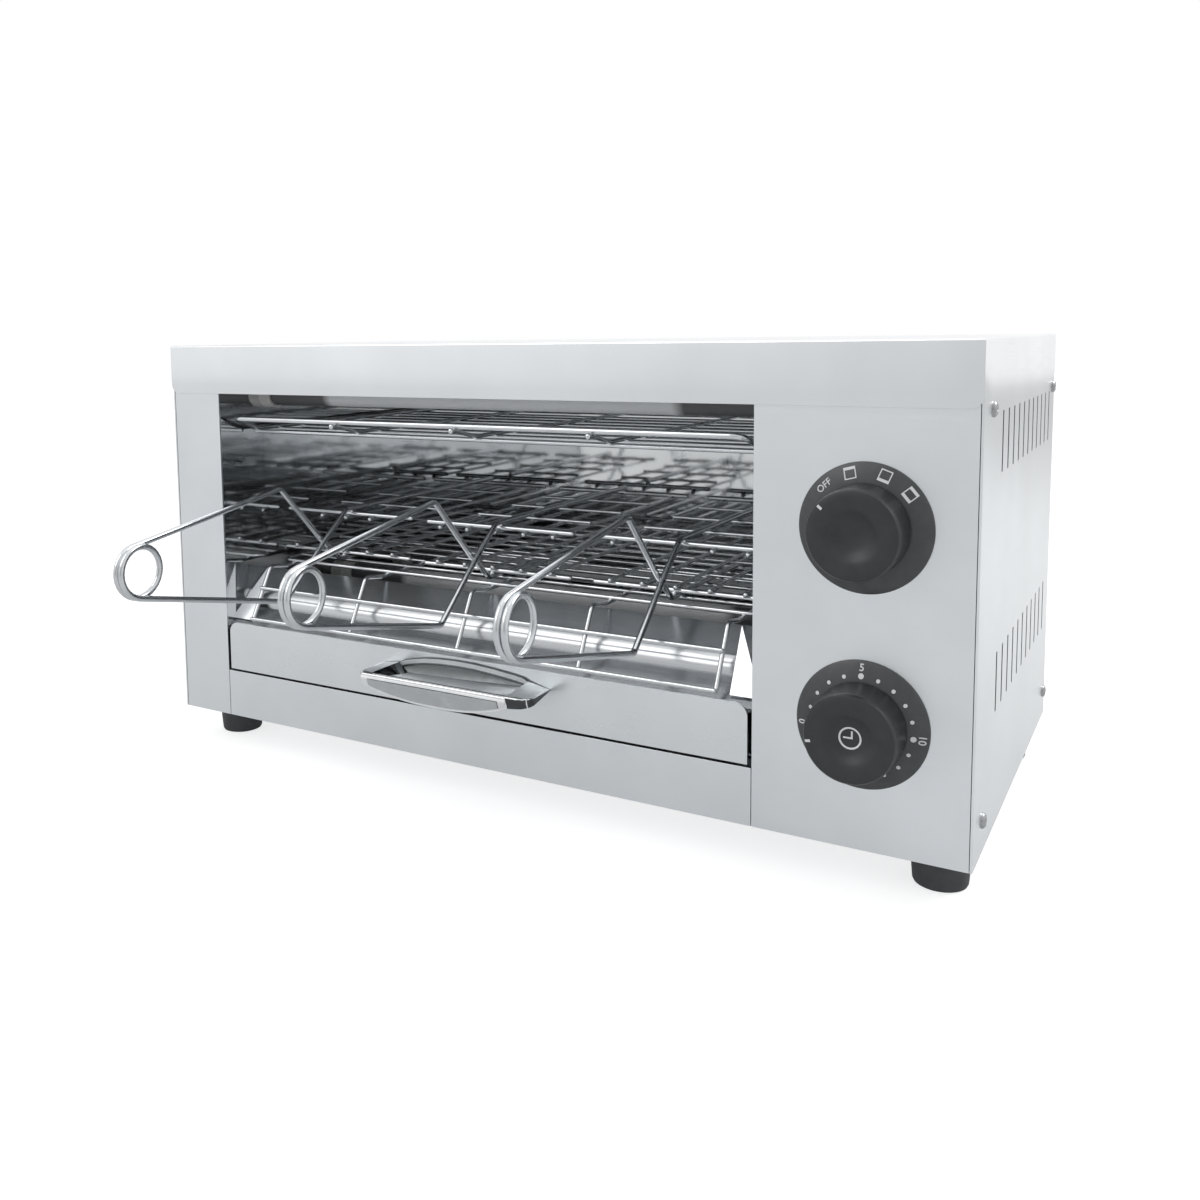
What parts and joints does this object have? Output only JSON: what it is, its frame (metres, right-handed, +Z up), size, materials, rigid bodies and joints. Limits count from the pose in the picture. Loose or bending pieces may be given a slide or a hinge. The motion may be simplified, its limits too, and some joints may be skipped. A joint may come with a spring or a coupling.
{
  "type": "clamp toaster",
  "caption": "Wide stainless countertop toaster with an open grilling chamber, wire guards, sprung wire tongs that hold bread, a crumb tray and rotary controls.",
  "frame": {"origin": "on the resting surface, in the middle of the whole outline, tongs included", "axes": "+Z up; the front with the opening, knobs and tray faces -Y; +X is to the right as seen from the front"},
  "size_m": [0.4432, 0.3527, 0.232],
  "materials": {
    "satin_steel": "satin",
    "tray_steel": "satin",
    "bright_steel": "bright",
    "polished_chamber": "polished",
    "galvanised_steel": "dull",
    "guard_chrome": "polished",
    "tong_chrome": "polished",
    "handle_chrome": "polished",
    "black_plastic": "satin",
    "black_dial": "matte",
    "housing_plastic": "matte",
    "black_rubber": "matte",
    "milky_quartz": "frosted",
    "spiral_wire": "dull",
    "ceramic": "glazed",
    "brass_bush": "satin",
    "screw_steel": "bright"
  },
  "bodies": {
    "cabinet": {"outer_cover": "satin_steel", "front_frame": "satin_steel", "base_pan": "satin_steel", "rear_panel": "satin_steel", "cover_screws": "screw_steel", "rubber_feet": "black_rubber", "foot_screws": "screw_steel", "chamber_left_wall": "polished_chamber", "chamber_right_wall": "polished_chamber", "chamber_back_wall": "polished_chamber", "chamber_ceiling": "polished_chamber", "heat_shield": "galvanised_steel", "upper_quartz_tubes": "milky_quartz", "lower_quartz_tubes": "milky_quartz", "upper_heating_spirals": "spiral_wire", "lower_heating_spirals": "spiral_wire", "ceramic_holders": "ceramic", "upper_guard": "guard_chrome", "lower_guard": "guard_chrome", "upper_guard_rests": "bright_steel", "lower_guard_rests": "bright_steel", "front_deflector": "polished_chamber", "deflector_cheeks": "bright_steel", "left_tray_runner": "galvanised_steel", "right_tray_runner": "galvanised_steel", "selector_housing": "housing_plastic", "selector_nut": "brass_bush", "selector_dial_plate": "black_dial", "timer_housing": "housing_plastic", "timer_nut": "brass_bush", "timer_dial_plate": "black_dial", "terminal_block": "housing_plastic", "cable_gland": "black_rubber"},
    "crumb_tray": {"tray_front": "tray_steel", "crumb_tray_pan": "bright_steel", "tray_handle": "handle_chrome", "handle_screws": "screw_steel"},
    "element_selector": {"selector_knob": "black_plastic", "selector_shaft": "screw_steel"},
    "timer": {"timer_knob": "black_plastic", "timer_shaft": "screw_steel"},
    "left_tong": {"left_tong_spring_arm": "tong_chrome", "left_tong_lower_jaw": "tong_chrome"},
    "left_tong_upper_half": {"left_tong_cross_arm": "tong_chrome", "left_tong_upper_jaw": "tong_chrome"},
    "middle_tong": {"middle_tong_spring_arm": "tong_chrome", "middle_tong_lower_jaw": "tong_chrome"},
    "middle_tong_upper_half": {"middle_tong_cross_arm": "tong_chrome", "middle_tong_upper_jaw": "tong_chrome"},
    "right_tong": {"right_tong_spring_arm": "tong_chrome", "right_tong_lower_jaw": "tong_chrome"},
    "right_tong_upper_half": {"right_tong_cross_arm": "tong_chrome", "right_tong_upper_jaw": "tong_chrome"}
  },
  "joints": [
    {"name": "crumb_tray_slide", "type": "slide", "parent": "cabinet", "child": "crumb_tray", "axis": [0, -1, 0], "range_m": [0, 0.19]},
    {"name": "element_selector_turn", "type": "hinge", "parent": "cabinet", "child": "element_selector", "pos_m": [0.1758, -0.05465, 0.1555], "axis": [0, 1, 0], "range_deg": [0, 100]},
    {"name": "timer_turn", "type": "hinge", "parent": "cabinet", "child": "timer", "pos_m": [0.1758, -0.05465, 0.0732], "axis": [0, 1, 0], "range_deg": [0, 285]},
    {"name": "left_tong_slide", "type": "slide", "parent": "cabinet", "child": "left_tong", "axis": [0, -1, 0], "range_m": [0, 0.2]},
    {"name": "left_tong_hinge", "type": "hinge", "parent": "left_tong", "child": "left_tong_upper_half", "pos_m": [-0.135, -0.15865, 0.1267], "axis": [1, 0, 0], "range_deg": [0, 7], "stiffness_Nm_per_rad": 6},
    {"name": "middle_tong_slide", "type": "slide", "parent": "cabinet", "child": "middle_tong", "axis": [0, -1, 0], "range_m": [0, 0.2]},
    {"name": "middle_tong_hinge", "type": "hinge", "parent": "middle_tong", "child": "middle_tong_upper_half", "pos_m": [-0.03, -0.16265, 0.1267], "axis": [1, 0, 0], "range_deg": [0, 7], "stiffness_Nm_per_rad": 6},
    {"name": "right_tong_slide", "type": "slide", "parent": "cabinet", "child": "right_tong", "axis": [0, -1, 0], "range_m": [0, 0.2]},
    {"name": "right_tong_hinge", "type": "hinge", "parent": "right_tong", "child": "right_tong_upper_half", "pos_m": [0.075, -0.16265, 0.1267], "axis": [1, 0, 0], "range_deg": [0, 7], "stiffness_Nm_per_rad": 6}
  ]
}
